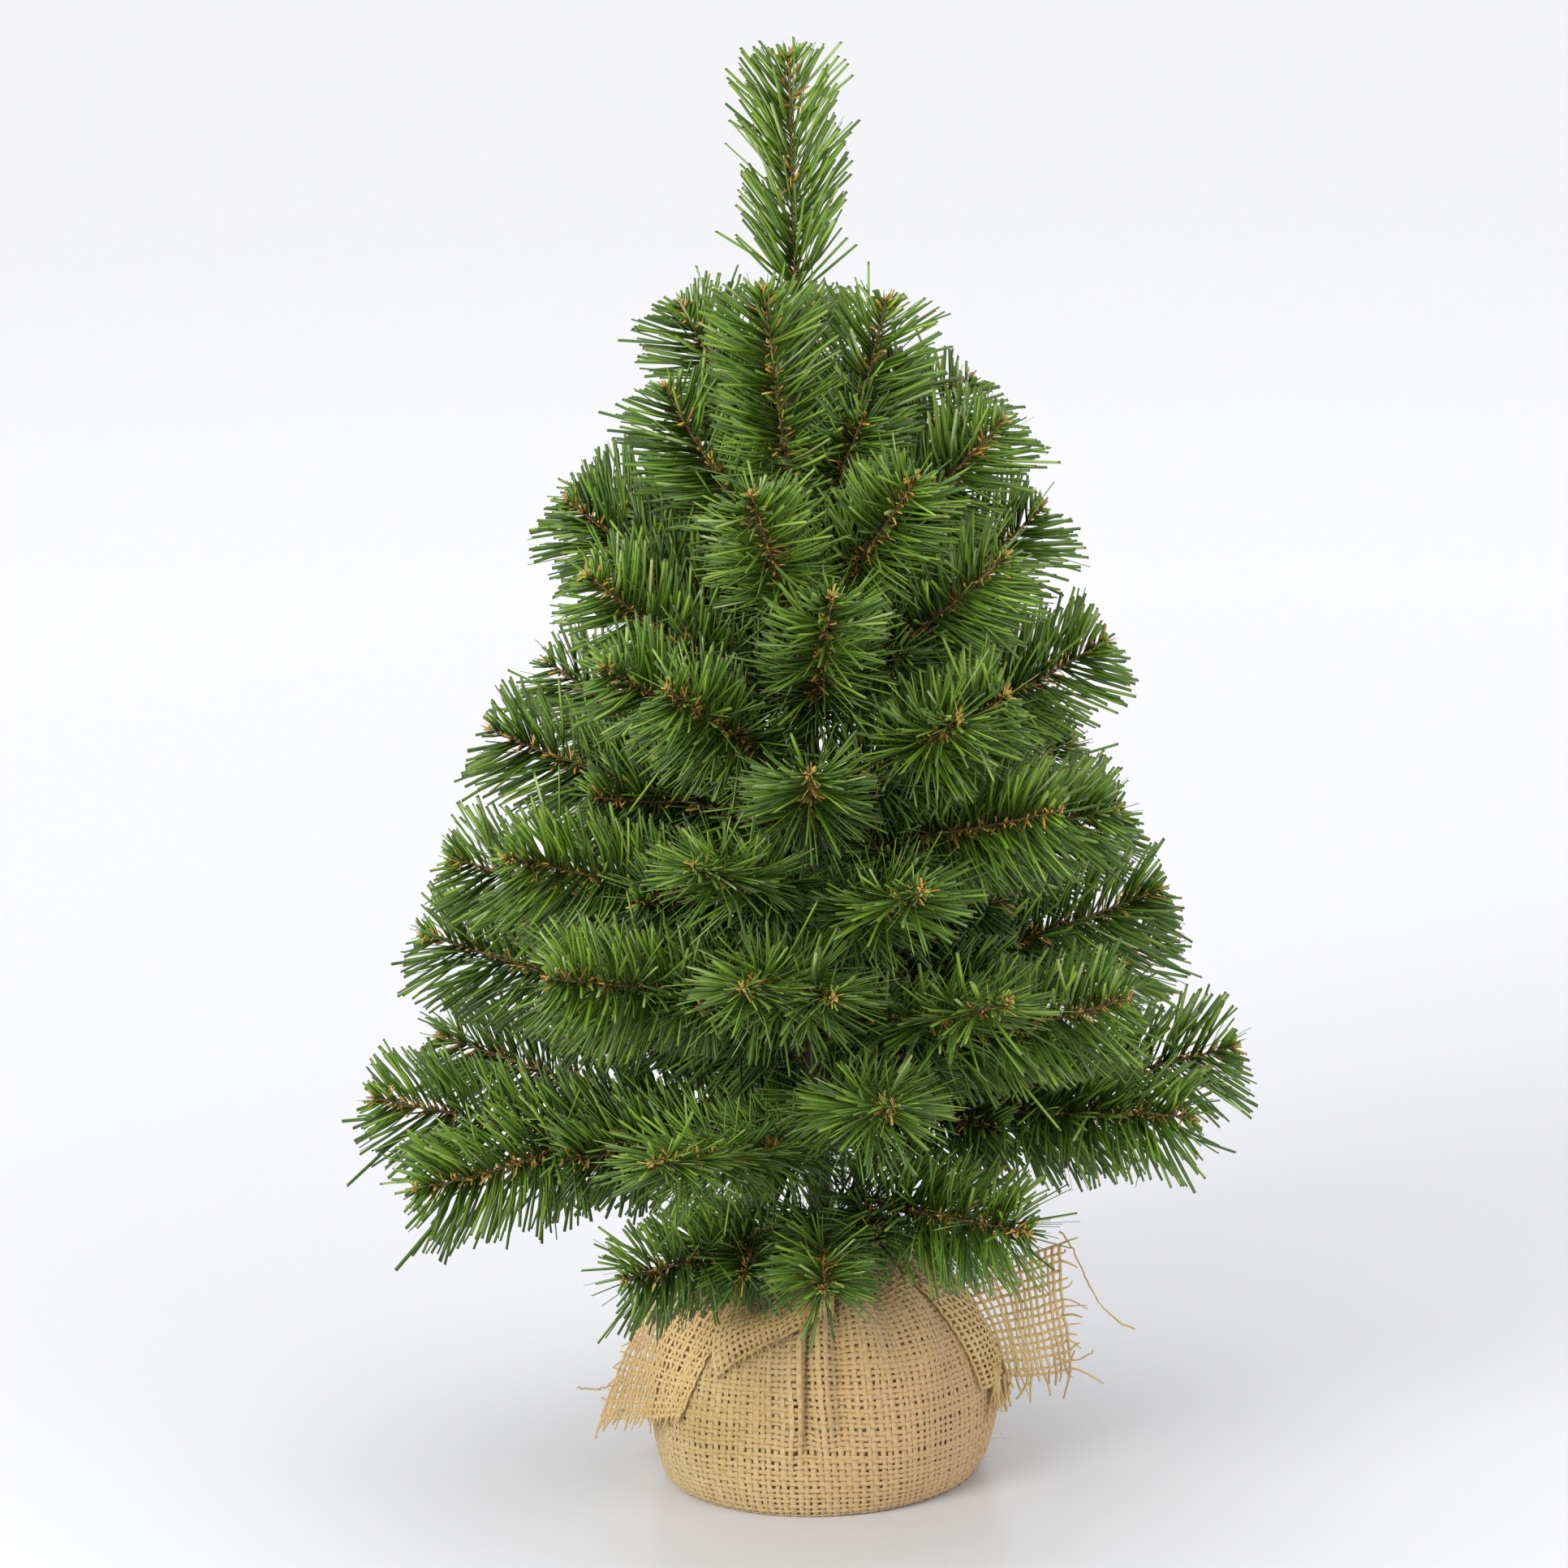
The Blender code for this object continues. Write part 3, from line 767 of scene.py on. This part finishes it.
def add_threads(bundle, paths, upwards, half_width, half_height, random, sides=6, closed=False, pale=0.0):
    """Adds a thread along each of paths (threads, points, 3), flattened along its upwards directions."""
    count, steps = paths.shape[:2]
    run = unit(slope(paths, 1, closed))
    across = unit(np.cross(upwards, run))
    raised = np.cross(run, across)
    turns = tau * (np.arange(sides) + 0.5) / sides
    wide = np.broadcast_to(half_width, (count, steps))[:, :, None, None] * np.cos(turns)[:, None]
    high = np.broadcast_to(half_height, (count, steps))[:, :, None, None] * np.sin(turns)[:, None]
    points = paths[:, :, None] + across[:, :, None] * wide + raised[:, :, None] * high
    thread = np.arange(count)[:, None, None]
    step = np.arange(steps if closed else steps - 1)[None, :, None]
    side = np.arange(sides)
    here, there = (thread * steps + step) * sides, (thread * steps + (step + 1) % steps) * sides
    beside = (side + 1) % sides
    quads = np.stack(np.broadcast_arrays(here + side, here + beside, there + beside, there + side), axis=-1)
    caps = []
    if not closed:
        fan = np.array([[0, k + 1, k] for k in range(1, sides - 1)])
        starts = (np.arange(count) * steps * sides)[:, None, None]
        caps = np.concatenate([starts + fan, starts + (steps - 1) * sides + fan[:, ::-1]]).reshape(-1, 3)
    along = np.cumsum(np.linalg.norm(np.diff(paths, axis=1, prepend=paths[:, :1]), axis=-1), axis=1)
    along = along + random.uniform(0, 1, (count, 1))
    tint = random.normal(0.45 + pale, 0.20, (count, 1)) + random.normal(0, 0.10, (count, steps))
    bundle.add(
        points.reshape(-1, 3),
        quads.reshape(-1, 4),
        caps,
        along=np.repeat(along.ravel(), sides),
        around=np.tile(np.abs(np.arange(sides) / sides * 2 - 1), count * steps),
        tint=np.clip(np.repeat(tint.ravel(), sides), 0, 1),
    )


def slubs(random, count, steps):
    """Thick and thin places along threads, as multipliers."""
    rough = random.normal(0, 1, (count, steps + 4))
    soft = sum(rough[:, k : k + steps] for k in range(5)) / 5
    thick = np.where(random.random((count, steps)) < 0.03, 0.25, 0.0)
    return np.clip(1 + 0.22 * soft + thick + random.normal(0, 0.07, (count, 1)), 0.6, 1.45)


def weave(bundle, grid, half_widths, half_height, random, closed=False, normals=None):
    """Interlaced threads through a grid of crossings: one way down its columns, one way across them."""
    if normals is None:
        normals = grid_normals(grid, closed)
    columns, rows = grid.shape[:2]
    over = np.where((np.arange(columns)[:, None] + np.arange(rows)) % 2, 1.0, -1.0)[..., None]
    rise = normals * over * half_height
    gap = np.linalg.norm(np.roll(grid, -1, 0) - grid, axis=-1)
    if not closed:
        gap[-1] = gap[-2]
    narrow = np.minimum(half_widths[0], 0.45 * gap)
    flat = np.minimum(half_height, 0.36 * gap)
    scale = (flat / half_height)[..., None]
    grid = grid + normals * random.normal(0, 0.08 * MM, (columns, rows, 1))
    uprights = narrow * slubs(random, columns, rows)
    add_threads(bundle, grid + rise * scale, normals, uprights, flat, random, pale=0.12)
    wide = half_widths[1] * slubs(random, rows, columns)
    add_threads(
        bundle,
        (grid - rise * scale).transpose(1, 0, 2),
        normals.transpose(1, 0, 2),
        wide,
        flat.T,
        random,
        sides=5 if closed else 6,
        closed=closed,
        pale=-0.10,
    )


def add_strands(bundle, starts, ways, lengths, random, radius, curl=0.35, steps=6, sides=5, pale=0.1):
    """Loose thread ends from starts, that wander off along ways, sag and taper."""
    count = len(starts)
    share = np.linspace(0, 1, steps)[None, :, None]
    drift = random.normal(0, curl, (count, 1, 3))
    wander = random.normal(0, curl * 0.25, (count, steps, 3)).cumsum(axis=1) * share / steps
    paths = starts[:, None] + lengths[:, None, None] * (
        ways[:, None] * share + drift * share**2 * 0.5 + wander - UP * STRAND_SAG * share**2
    )
    paths[..., 2] = np.maximum(paths[..., 2], 1.0 * MM)
    ups = unit(np.cross(ways, random.normal(0, 1, (count, 3))))[:, None] * np.ones((1, steps, 1))
    thin = (radius * (1 - 0.45 * share[..., 0])) * slubs(random, count, steps)
    add_threads(bundle, paths, ups, thin, thin, random, sides=sides, pale=pale)


def hang(piece, flat, held, node=None, with_pieces=(), **area):
    """Rides a sheet of cloth on the base."""
    put(piece, "base", node)
    for extra in with_pieces:
        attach(extra, "base")


def build_body_cloth():
    random = np.random.default_rng(7)
    fine = np.linspace(0, 1 + FRILL, 400)
    radius, height = outline(fine)
    run = np.concatenate([[0], np.cumsum(np.hypot(np.diff(radius), np.diff(height)))])
    rows = int(run[-1] / WEFT_PITCH) + 1
    share = np.interp(np.linspace(0, run[-1], rows), run, fine)
    columns = 2 * round(pi * BULGE_RADIUS / WARP_PITCH)
    bearing = tau * np.arange(columns) / columns - pi
    lean = 0.05 * np.sin(bearing)[:, None] * share[None]
    wide = bearing[:, None] + lean + random.normal(0, 0.004, (columns, 1)) * np.ones((1, rows))
    sway = 0.010 * np.sin(9 * share[None] + 4 * bearing[:, None])
    wide += sway + random.normal(0, 0.0022, (columns, rows))
    tall = share[None] + 0.012 * np.sin(3 * bearing + 0.6)[:, None] * smooth(share * 3)[None]
    tall = tall + random.normal(0, 0.0012, (columns, rows)) * smooth(share * 4)
    tall += random.normal(0, 0.0012, (1, rows)) * smooth(share * 4)
    bundle = Bundle()
    weave(bundle, cloth_point(wide, tall), (WARP_WIDTH, WEFT_WIDTH), THREAD_HEIGHT, random, closed=True)
    cloth = bundle.build("burlap_body", [BURLAP])

    frill = Bundle()
    top = cloth_point(bearing, np.full(columns, 1 + FRILL))
    outwards = unit(polar(bearing, 1.0, 2.2))
    add_strands(frill, top, outwards, random.uniform(2 * MM, 6 * MM, columns), random, 0.42 * MM, steps=4)
    spots = 420  # of fuzz
    where, high = random.uniform(-pi, pi, spots), random.uniform(0.05, 0.9, spots)
    surface = cloth_point(where, high, 0.3 * MM)
    ways = unit(random.normal(0, 1, (spots, 3)) + unit(surface * [1, 1, 0]) * 0.9)
    lengths = random.uniform(2 * MM, 7 * MM, spots)
    add_strands(frill, surface, ways, lengths, random, 0.075 * MM, curl=0.9, sides=3, pale=0.3)
    loose = frill.build("burlap_frill", [BURLAP])
    hang(cloth, (columns * WARP_PITCH, rows * WEFT_PITCH), "gathered", "burlap_wrap", [loose])


def build_shade_sheet():
    """A second layer just behind the threads, coloured as painted shade, open at the neck."""
    columns, rows = 120, 30
    bearing = tau * np.arange(columns)[:, None] / columns
    share = np.linspace(0.03, 1.0, rows)[None, :]
    radius, height = outline(share[0])
    flat = (tau * BULGE_RADIUS, float(np.hypot(np.diff(radius), np.diff(height)).sum()))
    grid_bearing, grid_share = np.broadcast_arrays(bearing, share)
    points = [cloth_point(grid_bearing, grid_share, -depth).reshape(-1, 3) for depth in SHADE_SHEET_SET_IN]
    layer = columns * rows
    column, row = np.arange(columns)[:, None], np.arange(rows - 1)[None, :]
    here, there = column * rows + row, (column + 1) % columns * rows + row
    quads = [
        np.stack([here, there, there + 1, here + 1], axis=-1).reshape(-1, 4),
        np.stack([here, here + 1, there + 1, there], axis=-1).reshape(-1, 4) + layer,
    ]
    for edge, flip in ((0, False), (rows - 1, True)):
        low, high = np.arange(columns) * rows + edge, (np.arange(columns) + 1) % columns * rows + edge
        band = np.stack([low, low + layer, high + layer, high], axis=-1)
        quads.append(band[:, ::-1] if flip else band)
    shade_sheet = new_mesh("burlap_shade_sheet", np.concatenate(points), np.concatenate(quads), [], [SHADE_SHEET])
    hang(shade_sheet, flat, "gathered")


def build_cloth_bottom():
    """The cloth under the weight."""
    low, high = UNDERSIDE
    radii = [0.0, 40 * MM, 62 * MM, 63.6 * MM]
    profile = [(radius, high) for radius in radii] + [(radius, low) for radius in radii[::-1]]
    bottom = new_mesh("burlap_bottom", *lathe(profile, 64), [WOVEN])
    hang(bottom, (2 * radii[-1], 2 * radii[-1]), "laid", area=pi * radii[-1] ** 2)


def flap_grid(inner, outer, hug, out, down):
    """(bearing, radius, height) of a corner of spare cloth as in the CAD, for shares out and down of it."""
    out, down = out[:, None], down[None, :]
    bearing_in, share_in = (top + (bottom - top) * down for top, bottom in zip(*inner))
    bearing_out, share_out, past = (top + (bottom - top) * down for top, bottom in zip(*outer))
    height = NECK_HEIGHT * (share_in + (share_out - share_in) * out)
    bearing = np.radians(bearing_in + (bearing_out - bearing_in) * out)
    start = outline(share_at(NECK_HEIGHT * share_in))[0] + FLAP_LIFT
    radius = start + (BULGE_RADIUS + past - start) * np.maximum(out, 0) ** hug
    return bearing, np.maximum(radius, cloth_radius(bearing, height) + FLAP_LIFT), height


def build_flap(node, seed, inner, outer, hug, size, pitch, widths, ripple, fringe_down, fringe_out, ends):
    """A free corner of the cloth: inner and outer are its edges from top to bottom, ends its long threads."""
    random = np.random.default_rng(seed)
    columns, rows = (round(side / pitch) + 1 for side in size)
    shift = np.concatenate([[0], random.normal(0, FLAP_JITTER / columns, columns - 1)])
    out = np.linspace(0, 1, columns) + shift
    down = np.linspace(0, 1, rows) + random.normal(0, FLAP_JITTER / rows, rows)
    bearing, radius, height = flap_grid(inner, outer, hug, out, down)
    long_waves = np.sin(out[:, None] * 5.0 + down[None] * 2.0) * ripple
    waves = long_waves + np.sin(down[None] * 6.5 + out[:, None] * 2) * ripple / 2
    free = smooth(out * 2)[:, None]
    bearing = bearing + waves * free / radius
    radius = np.maximum(radius + 0.4 * waves * free, cloth_radius(bearing, height) + FLAP_LIFT)
    grid = polar(bearing, radius, height)
    normals = grid_normals(grid)
    bundle = Bundle()
    grid = grid + random.normal(0, 0.18 * MM, grid.shape)
    weave(bundle, grid, widths, LOOSE_HEIGHT, random, normals=normals)
    cloth = bundle.build(f"{node}_cloth", [LIT_BURLAP])

    fringe = Bundle()
    edge, before = grid[:, -1], grid[:, -2]
    ways = unit(unit(edge - before) + random.normal(0, 0.16, edge.shape))
    add_strands(fringe, edge, ways, random.uniform(*fringe_down, columns), random, 0.62 * MM)
    edge, before = grid[-1], grid[-2]
    ways = unit(unit(edge - before) + random.normal(0, 0.35, edge.shape))
    add_strands(fringe, edge, ways, random.uniform(*fringe_out, rows), random, 0.55 * MM, curl=0.6)
    if node == "burlap_flap_right":
        add_tassel(fringe, random)
    for points in ends:
        add_long_thread(fringe, points, random)
    loose = fringe.build(f"{node}_fringe", [LIT_BURLAP])
    hang(cloth, ((columns - 1) * pitch, (rows - 1) * pitch), "hung", node, [loose])


def add_long_thread(bundle, points, random):
    """One loose thread through a few points."""
    line = Path(np.array(points))
    path = line.at(np.linspace(0, line.length, 28))[None]
    path = path + random.normal(0, 0.25 * MM, path.shape)
    ups = np.broadcast_to([0.0, -1.0, 0.3], path.shape)
    half_width = LONG_THREAD_RADIUS * slubs(random, 1, path.shape[1])
    add_threads(bundle, path, ups, half_width, LONG_THREAD_RADIUS, random, sides=5, pale=-0.2)


def add_tassel(fringe, random):
    """The pale tassel of the right flap."""
    count = 16
    bearing = np.radians(random.uniform(-23, -13, count))
    height = random.uniform(44 * MM, 52 * MM, count)
    radius = cloth_radius(bearing, height) + random.uniform(3 * MM, 5 * MM, count)
    starts = polar(bearing, radius, height)
    ways = unit(np.array([0.10, -0.1, -1.0]) + random.normal(0, 0.13, (count, 3)))
    add_strands(fringe, starts, ways, random.uniform(9 * MM, 17 * MM, count), random, 0.85 * MM, pale=0.9)


def build_folded_strip():
    """The folded cloth where the right flap leaves the wrap."""
    random = np.random.default_rng(31)
    columns, rows = 9, 19
    across = np.linspace(0, 1, columns)[:, None]
    down = np.linspace(0, 1, rows)[None, :]
    height = NECK_HEIGHT * (0.93 - 0.47 * down)
    bearing = np.radians(-36 + 21 * across + 7 * down)
    bulk = 1.8 * MM * np.sin(pi * across) ** 0.7
    radius = cloth_radius(bearing, height) + 2.2 * MM + bulk
    bundle = Bundle()
    weave(bundle, polar(bearing, radius, height), (0.85 * MM, 0.80 * MM), LOOSE_HEIGHT, random)
    strip = bundle.build("burlap_strip", [LIT_BURLAP])
    hang(strip, (columns * WARP_PITCH, rows * WARP_PITCH), "folded")


def build_front_fold():
    """The cloth's folded edge on the front, thicker along its rolled lower edge."""
    random = np.random.default_rng(23)
    columns, rows = 24, 20
    across = np.linspace(0, 1, columns)[:, None]
    up = np.linspace(0, 1, rows)[None, :]
    bearing = np.radians(FOLD_LEFT + (FOLD_RIGHT - FOLD_LEFT) * across - 4 * np.sin(pi * up) * (1 - across))
    low = np.interp(across, [0, 0.2, 0.45, 0.75, 1], [0.47, 0.545, 0.60, 0.655, 0.70])
    share = low + (0.92 - low) * up
    roll = smooth(1 - up / 0.22)
    full = smooth(across / 0.3) * smooth((1.1 - across) / 0.4)
    puff = (2.4 + 3.6 * full) * MM * np.sin(pi * np.clip(up / 0.45, 0, 1))
    lift = 2.6 * MM + puff + 1.4 * MM * roll * full
    lift += 0.9 * MM * np.sin(across * 9 + up * 3) * smooth(up * 3)
    grid = cloth_point(bearing, share + 0.012 * roll, lift)
    bundle = Bundle()
    weave(bundle, grid, (0.95 * MM, 0.86 * MM), THREAD_HEIGHT, random)
    cloth = bundle.build("burlap_fold_cloth", [LIT_BURLAP])
    ends = grid[:, 0]
    fringe = Bundle()
    inwards = -unit(ends * [1, 1, 0]) * 0.5 - UP
    ways = unit(inwards + random.normal(0, 0.35, ends.shape))
    lengths = random.uniform(1.4 * MM, 4.2 * MM, columns)
    add_strands(fringe, ends, ways, lengths, random, 0.55 * MM, steps=4, pale=0.3)
    fuzz = 160  # fine loose fibres
    spots = ends[random.integers(0, columns, fuzz)] + random.normal(0, 0.8 * MM, (fuzz, 3))
    ways = unit(random.normal(0, 1, (fuzz, 3)) + [0, -0.8, -0.4])
    lengths = random.uniform(1.5 * MM, 4.5 * MM, fuzz)
    add_strands(fringe, spots, ways, lengths, random, 0.09 * MM, curl=0.9, sides=3, pale=0.4)
    loose = fringe.build("burlap_fold_fringe", [LIT_BURLAP])
    hang(cloth, (columns * WARP_PITCH, rows * WARP_PITCH), "folded", "burlap_flap_front", [loose])


def build_tie():
    """A turn of two-ply twine round the neck."""
    random = np.random.default_rng(5)
    bundle = Bundle()
    radius, height = NECK_RADIUS + 2.2 * MM, NECK_HEIGHT + 1.6 * MM
    ply_radius, off_middle, twists = 0.72 * MM, 0.55 * MM, 22
    turn = tau * np.arange(120) / 120
    for ply in range(2):
        twist = turn * twists + ply * pi
        path = polar(turn, radius + off_middle * np.cos(twist), height + off_middle * np.sin(twist))[None]
        upwards = np.broadcast_to(UP, path.shape)
        add_threads(bundle, path, upwards, ply_radius, ply_radius, random, closed=True)
    tie = bundle.build("neck_twine", [TWINE])
    put(tie, "base", "neck_tie")


def dress_hard_parts():
    """Materials on the CAD meshes that stay in view."""
    for node, material in (("trunk_pole", POLE), ("trunk_tape", TAPE), ("base_weight", CEMENT)):
        data = frame["nodes"][node].data
        data.materials.clear()
        data.materials.append(material)


# Stage


def build_stage():
    """A pale glossy floor that curves up on all sides, open above, with painted light: darker near the
    middle, lighter and glowing further out.
    """
    flat, rise, steps = 3.6, 1.4, 16
    profile = [(0.0, 0.0), (1.2, 0.0), (2.4, 0.0)]
    for turn in pi / 2 * np.arange(steps + 1) / steps:
        profile.append((flat + rise * sin(turn), rise * (1 - cos(turn))))
    shader = Shader("stage_white", roughness=0.28, specular=0.35)
    away = shader.node("ShaderNodeVectorMath", _0=shader.node("ShaderNodeTexCoord").outputs["Object"])
    away.operation = "LENGTH"
    far = shader.maths("DIVIDE", away.outputs["Value"], 4.0)
    # Painted light: the floor's colour lighter further out, darker near the tree.
    shader.colour(shader.ramp(far, [(0.05, (0.70, 0.70, 0.715)), (0.30, (0.84, 0.84, 0.85)), (0.60, 0.95)]))
    # Painted light: a glow that grows further out, though the floor is no lamp.
    glow = shader.ramp(far, [(0.15, 0.0), (0.50, 0.12)])
    shader.feed(shader.main.inputs["Emission Color"], glow)
    shader.main.inputs["Emission Strength"].default_value = 1.0
    new_mesh("stage", *lathe(profile, 96), [shader.material])


def area_light(name, place, size, power):
    """A light that looks at the tree and isn't seen itself."""
    data = bpy.data.lights.new(name, "AREA")
    data.shape = "RECTANGLE"
    data.size, data.size_y = size
    data.energy = power
    light = bpy.data.objects.new(name, data)
    bpy.context.scene.collection.objects.link(light)
    light.location = place
    light.visible_camera = False
    light.rotation_euler = (Vector((0, 0, 0.3)) - Vector(place)).to_track_quat("-Z", "Y").to_euler()


def build_lights():
    area_light("key", (-1.3, -1.5, 1.2), (1.0, 1.0), 36)
    area_light("fill", (1.5, -1.1, 0.8), (1.2, 1.2), 10)
    area_light("top", (0.1, 0.3, 2.0), (1.6, 1.4), 14)
    world = bpy.data.worlds.new("studio")
    bpy.context.scene.world = world
    world.use_nodes = True
    ground = world.node_tree.nodes["Background"]
    ground.inputs["Color"].default_value = (0.965, 0.97, 1.0, 1.0)
    ground.inputs["Strength"].default_value = 0.75


def build_camera():
    data = bpy.data.cameras.new("camera")
    camera = bpy.data.objects.new("camera", data)
    bpy.context.scene.collection.objects.link(camera)
    distance, elevation, roll = 2.5, radians(12.6), radians(1.61)
    target = Vector((-0.0103, 0.0, 0.2961))
    offset = Vector((0, -distance * cos(elevation), distance * sin(elevation)))
    camera.location = target + offset
    turn = (-offset).to_track_quat("-Z", "Y")
    camera.rotation_euler = (turn @ Quaternion((0, 0, 1), -roll)).to_euler()
    data.sensor_width = 36
    data.lens = 138.8
    bpy.context.scene.camera = camera


bpy.context.scene.view_settings.view_transform = "Standard"
build_camera()
build_stage()
build_lights()
build_brushes()
build_body_cloth()
build_shade_sheet()
build_cloth_bottom()
build_front_fold()
build_folded_strip()
build_flap(
    "burlap_flap_right",
    seed=41,
    inner=((-14, 0.90), (-16, 0.46)),
    outer=((-6, 1.04, 28.5 * MM), (-2, 0.42, 30.5 * MM)),
    hug=1.0,
    size=(54 * MM, 52 * MM),
    pitch=3.6 * MM,
    widths=(0.76 * MM, 0.70 * MM),
    ripple=2.4 * MM,
    fringe_down=(4 * MM, 10 * MM),
    fringe_out=(3 * MM, 9 * MM),
    ends=[
        [(0.100, -0.012, 0.104), (0.107, -0.014, 0.092), (0.116, -0.016, 0.073), (0.131, -0.018, 0.062)],
        [(0.097, -0.010, 0.048), (0.105, -0.012, 0.047), (0.113, -0.014, 0.052)],
    ],
)
build_flap(
    "burlap_flap_left",
    seed=43,
    inner=((-131, 0.85), (-142, 0.42)),
    outer=((-183, 0.95, -4.5 * MM), (-175, 0.28, 22.5 * MM)),
    hug=1.6,
    size=(72 * MM, 54 * MM),
    pitch=3.1 * MM,
    widths=(0.86 * MM, 0.80 * MM),
    ripple=1.6 * MM,
    fringe_down=(2 * MM, 6 * MM),
    fringe_out=(3 * MM, 7 * MM),
    ends=[
        [(-0.084, -0.020, 0.034), (-0.093, -0.022, 0.030), (-0.097, -0.022, 0.022)],
        [(-0.088, -0.018, 0.044), (-0.096, -0.020, 0.043), (-0.104, -0.021, 0.044)],
    ],
)
build_tie()
dress_hard_parts()
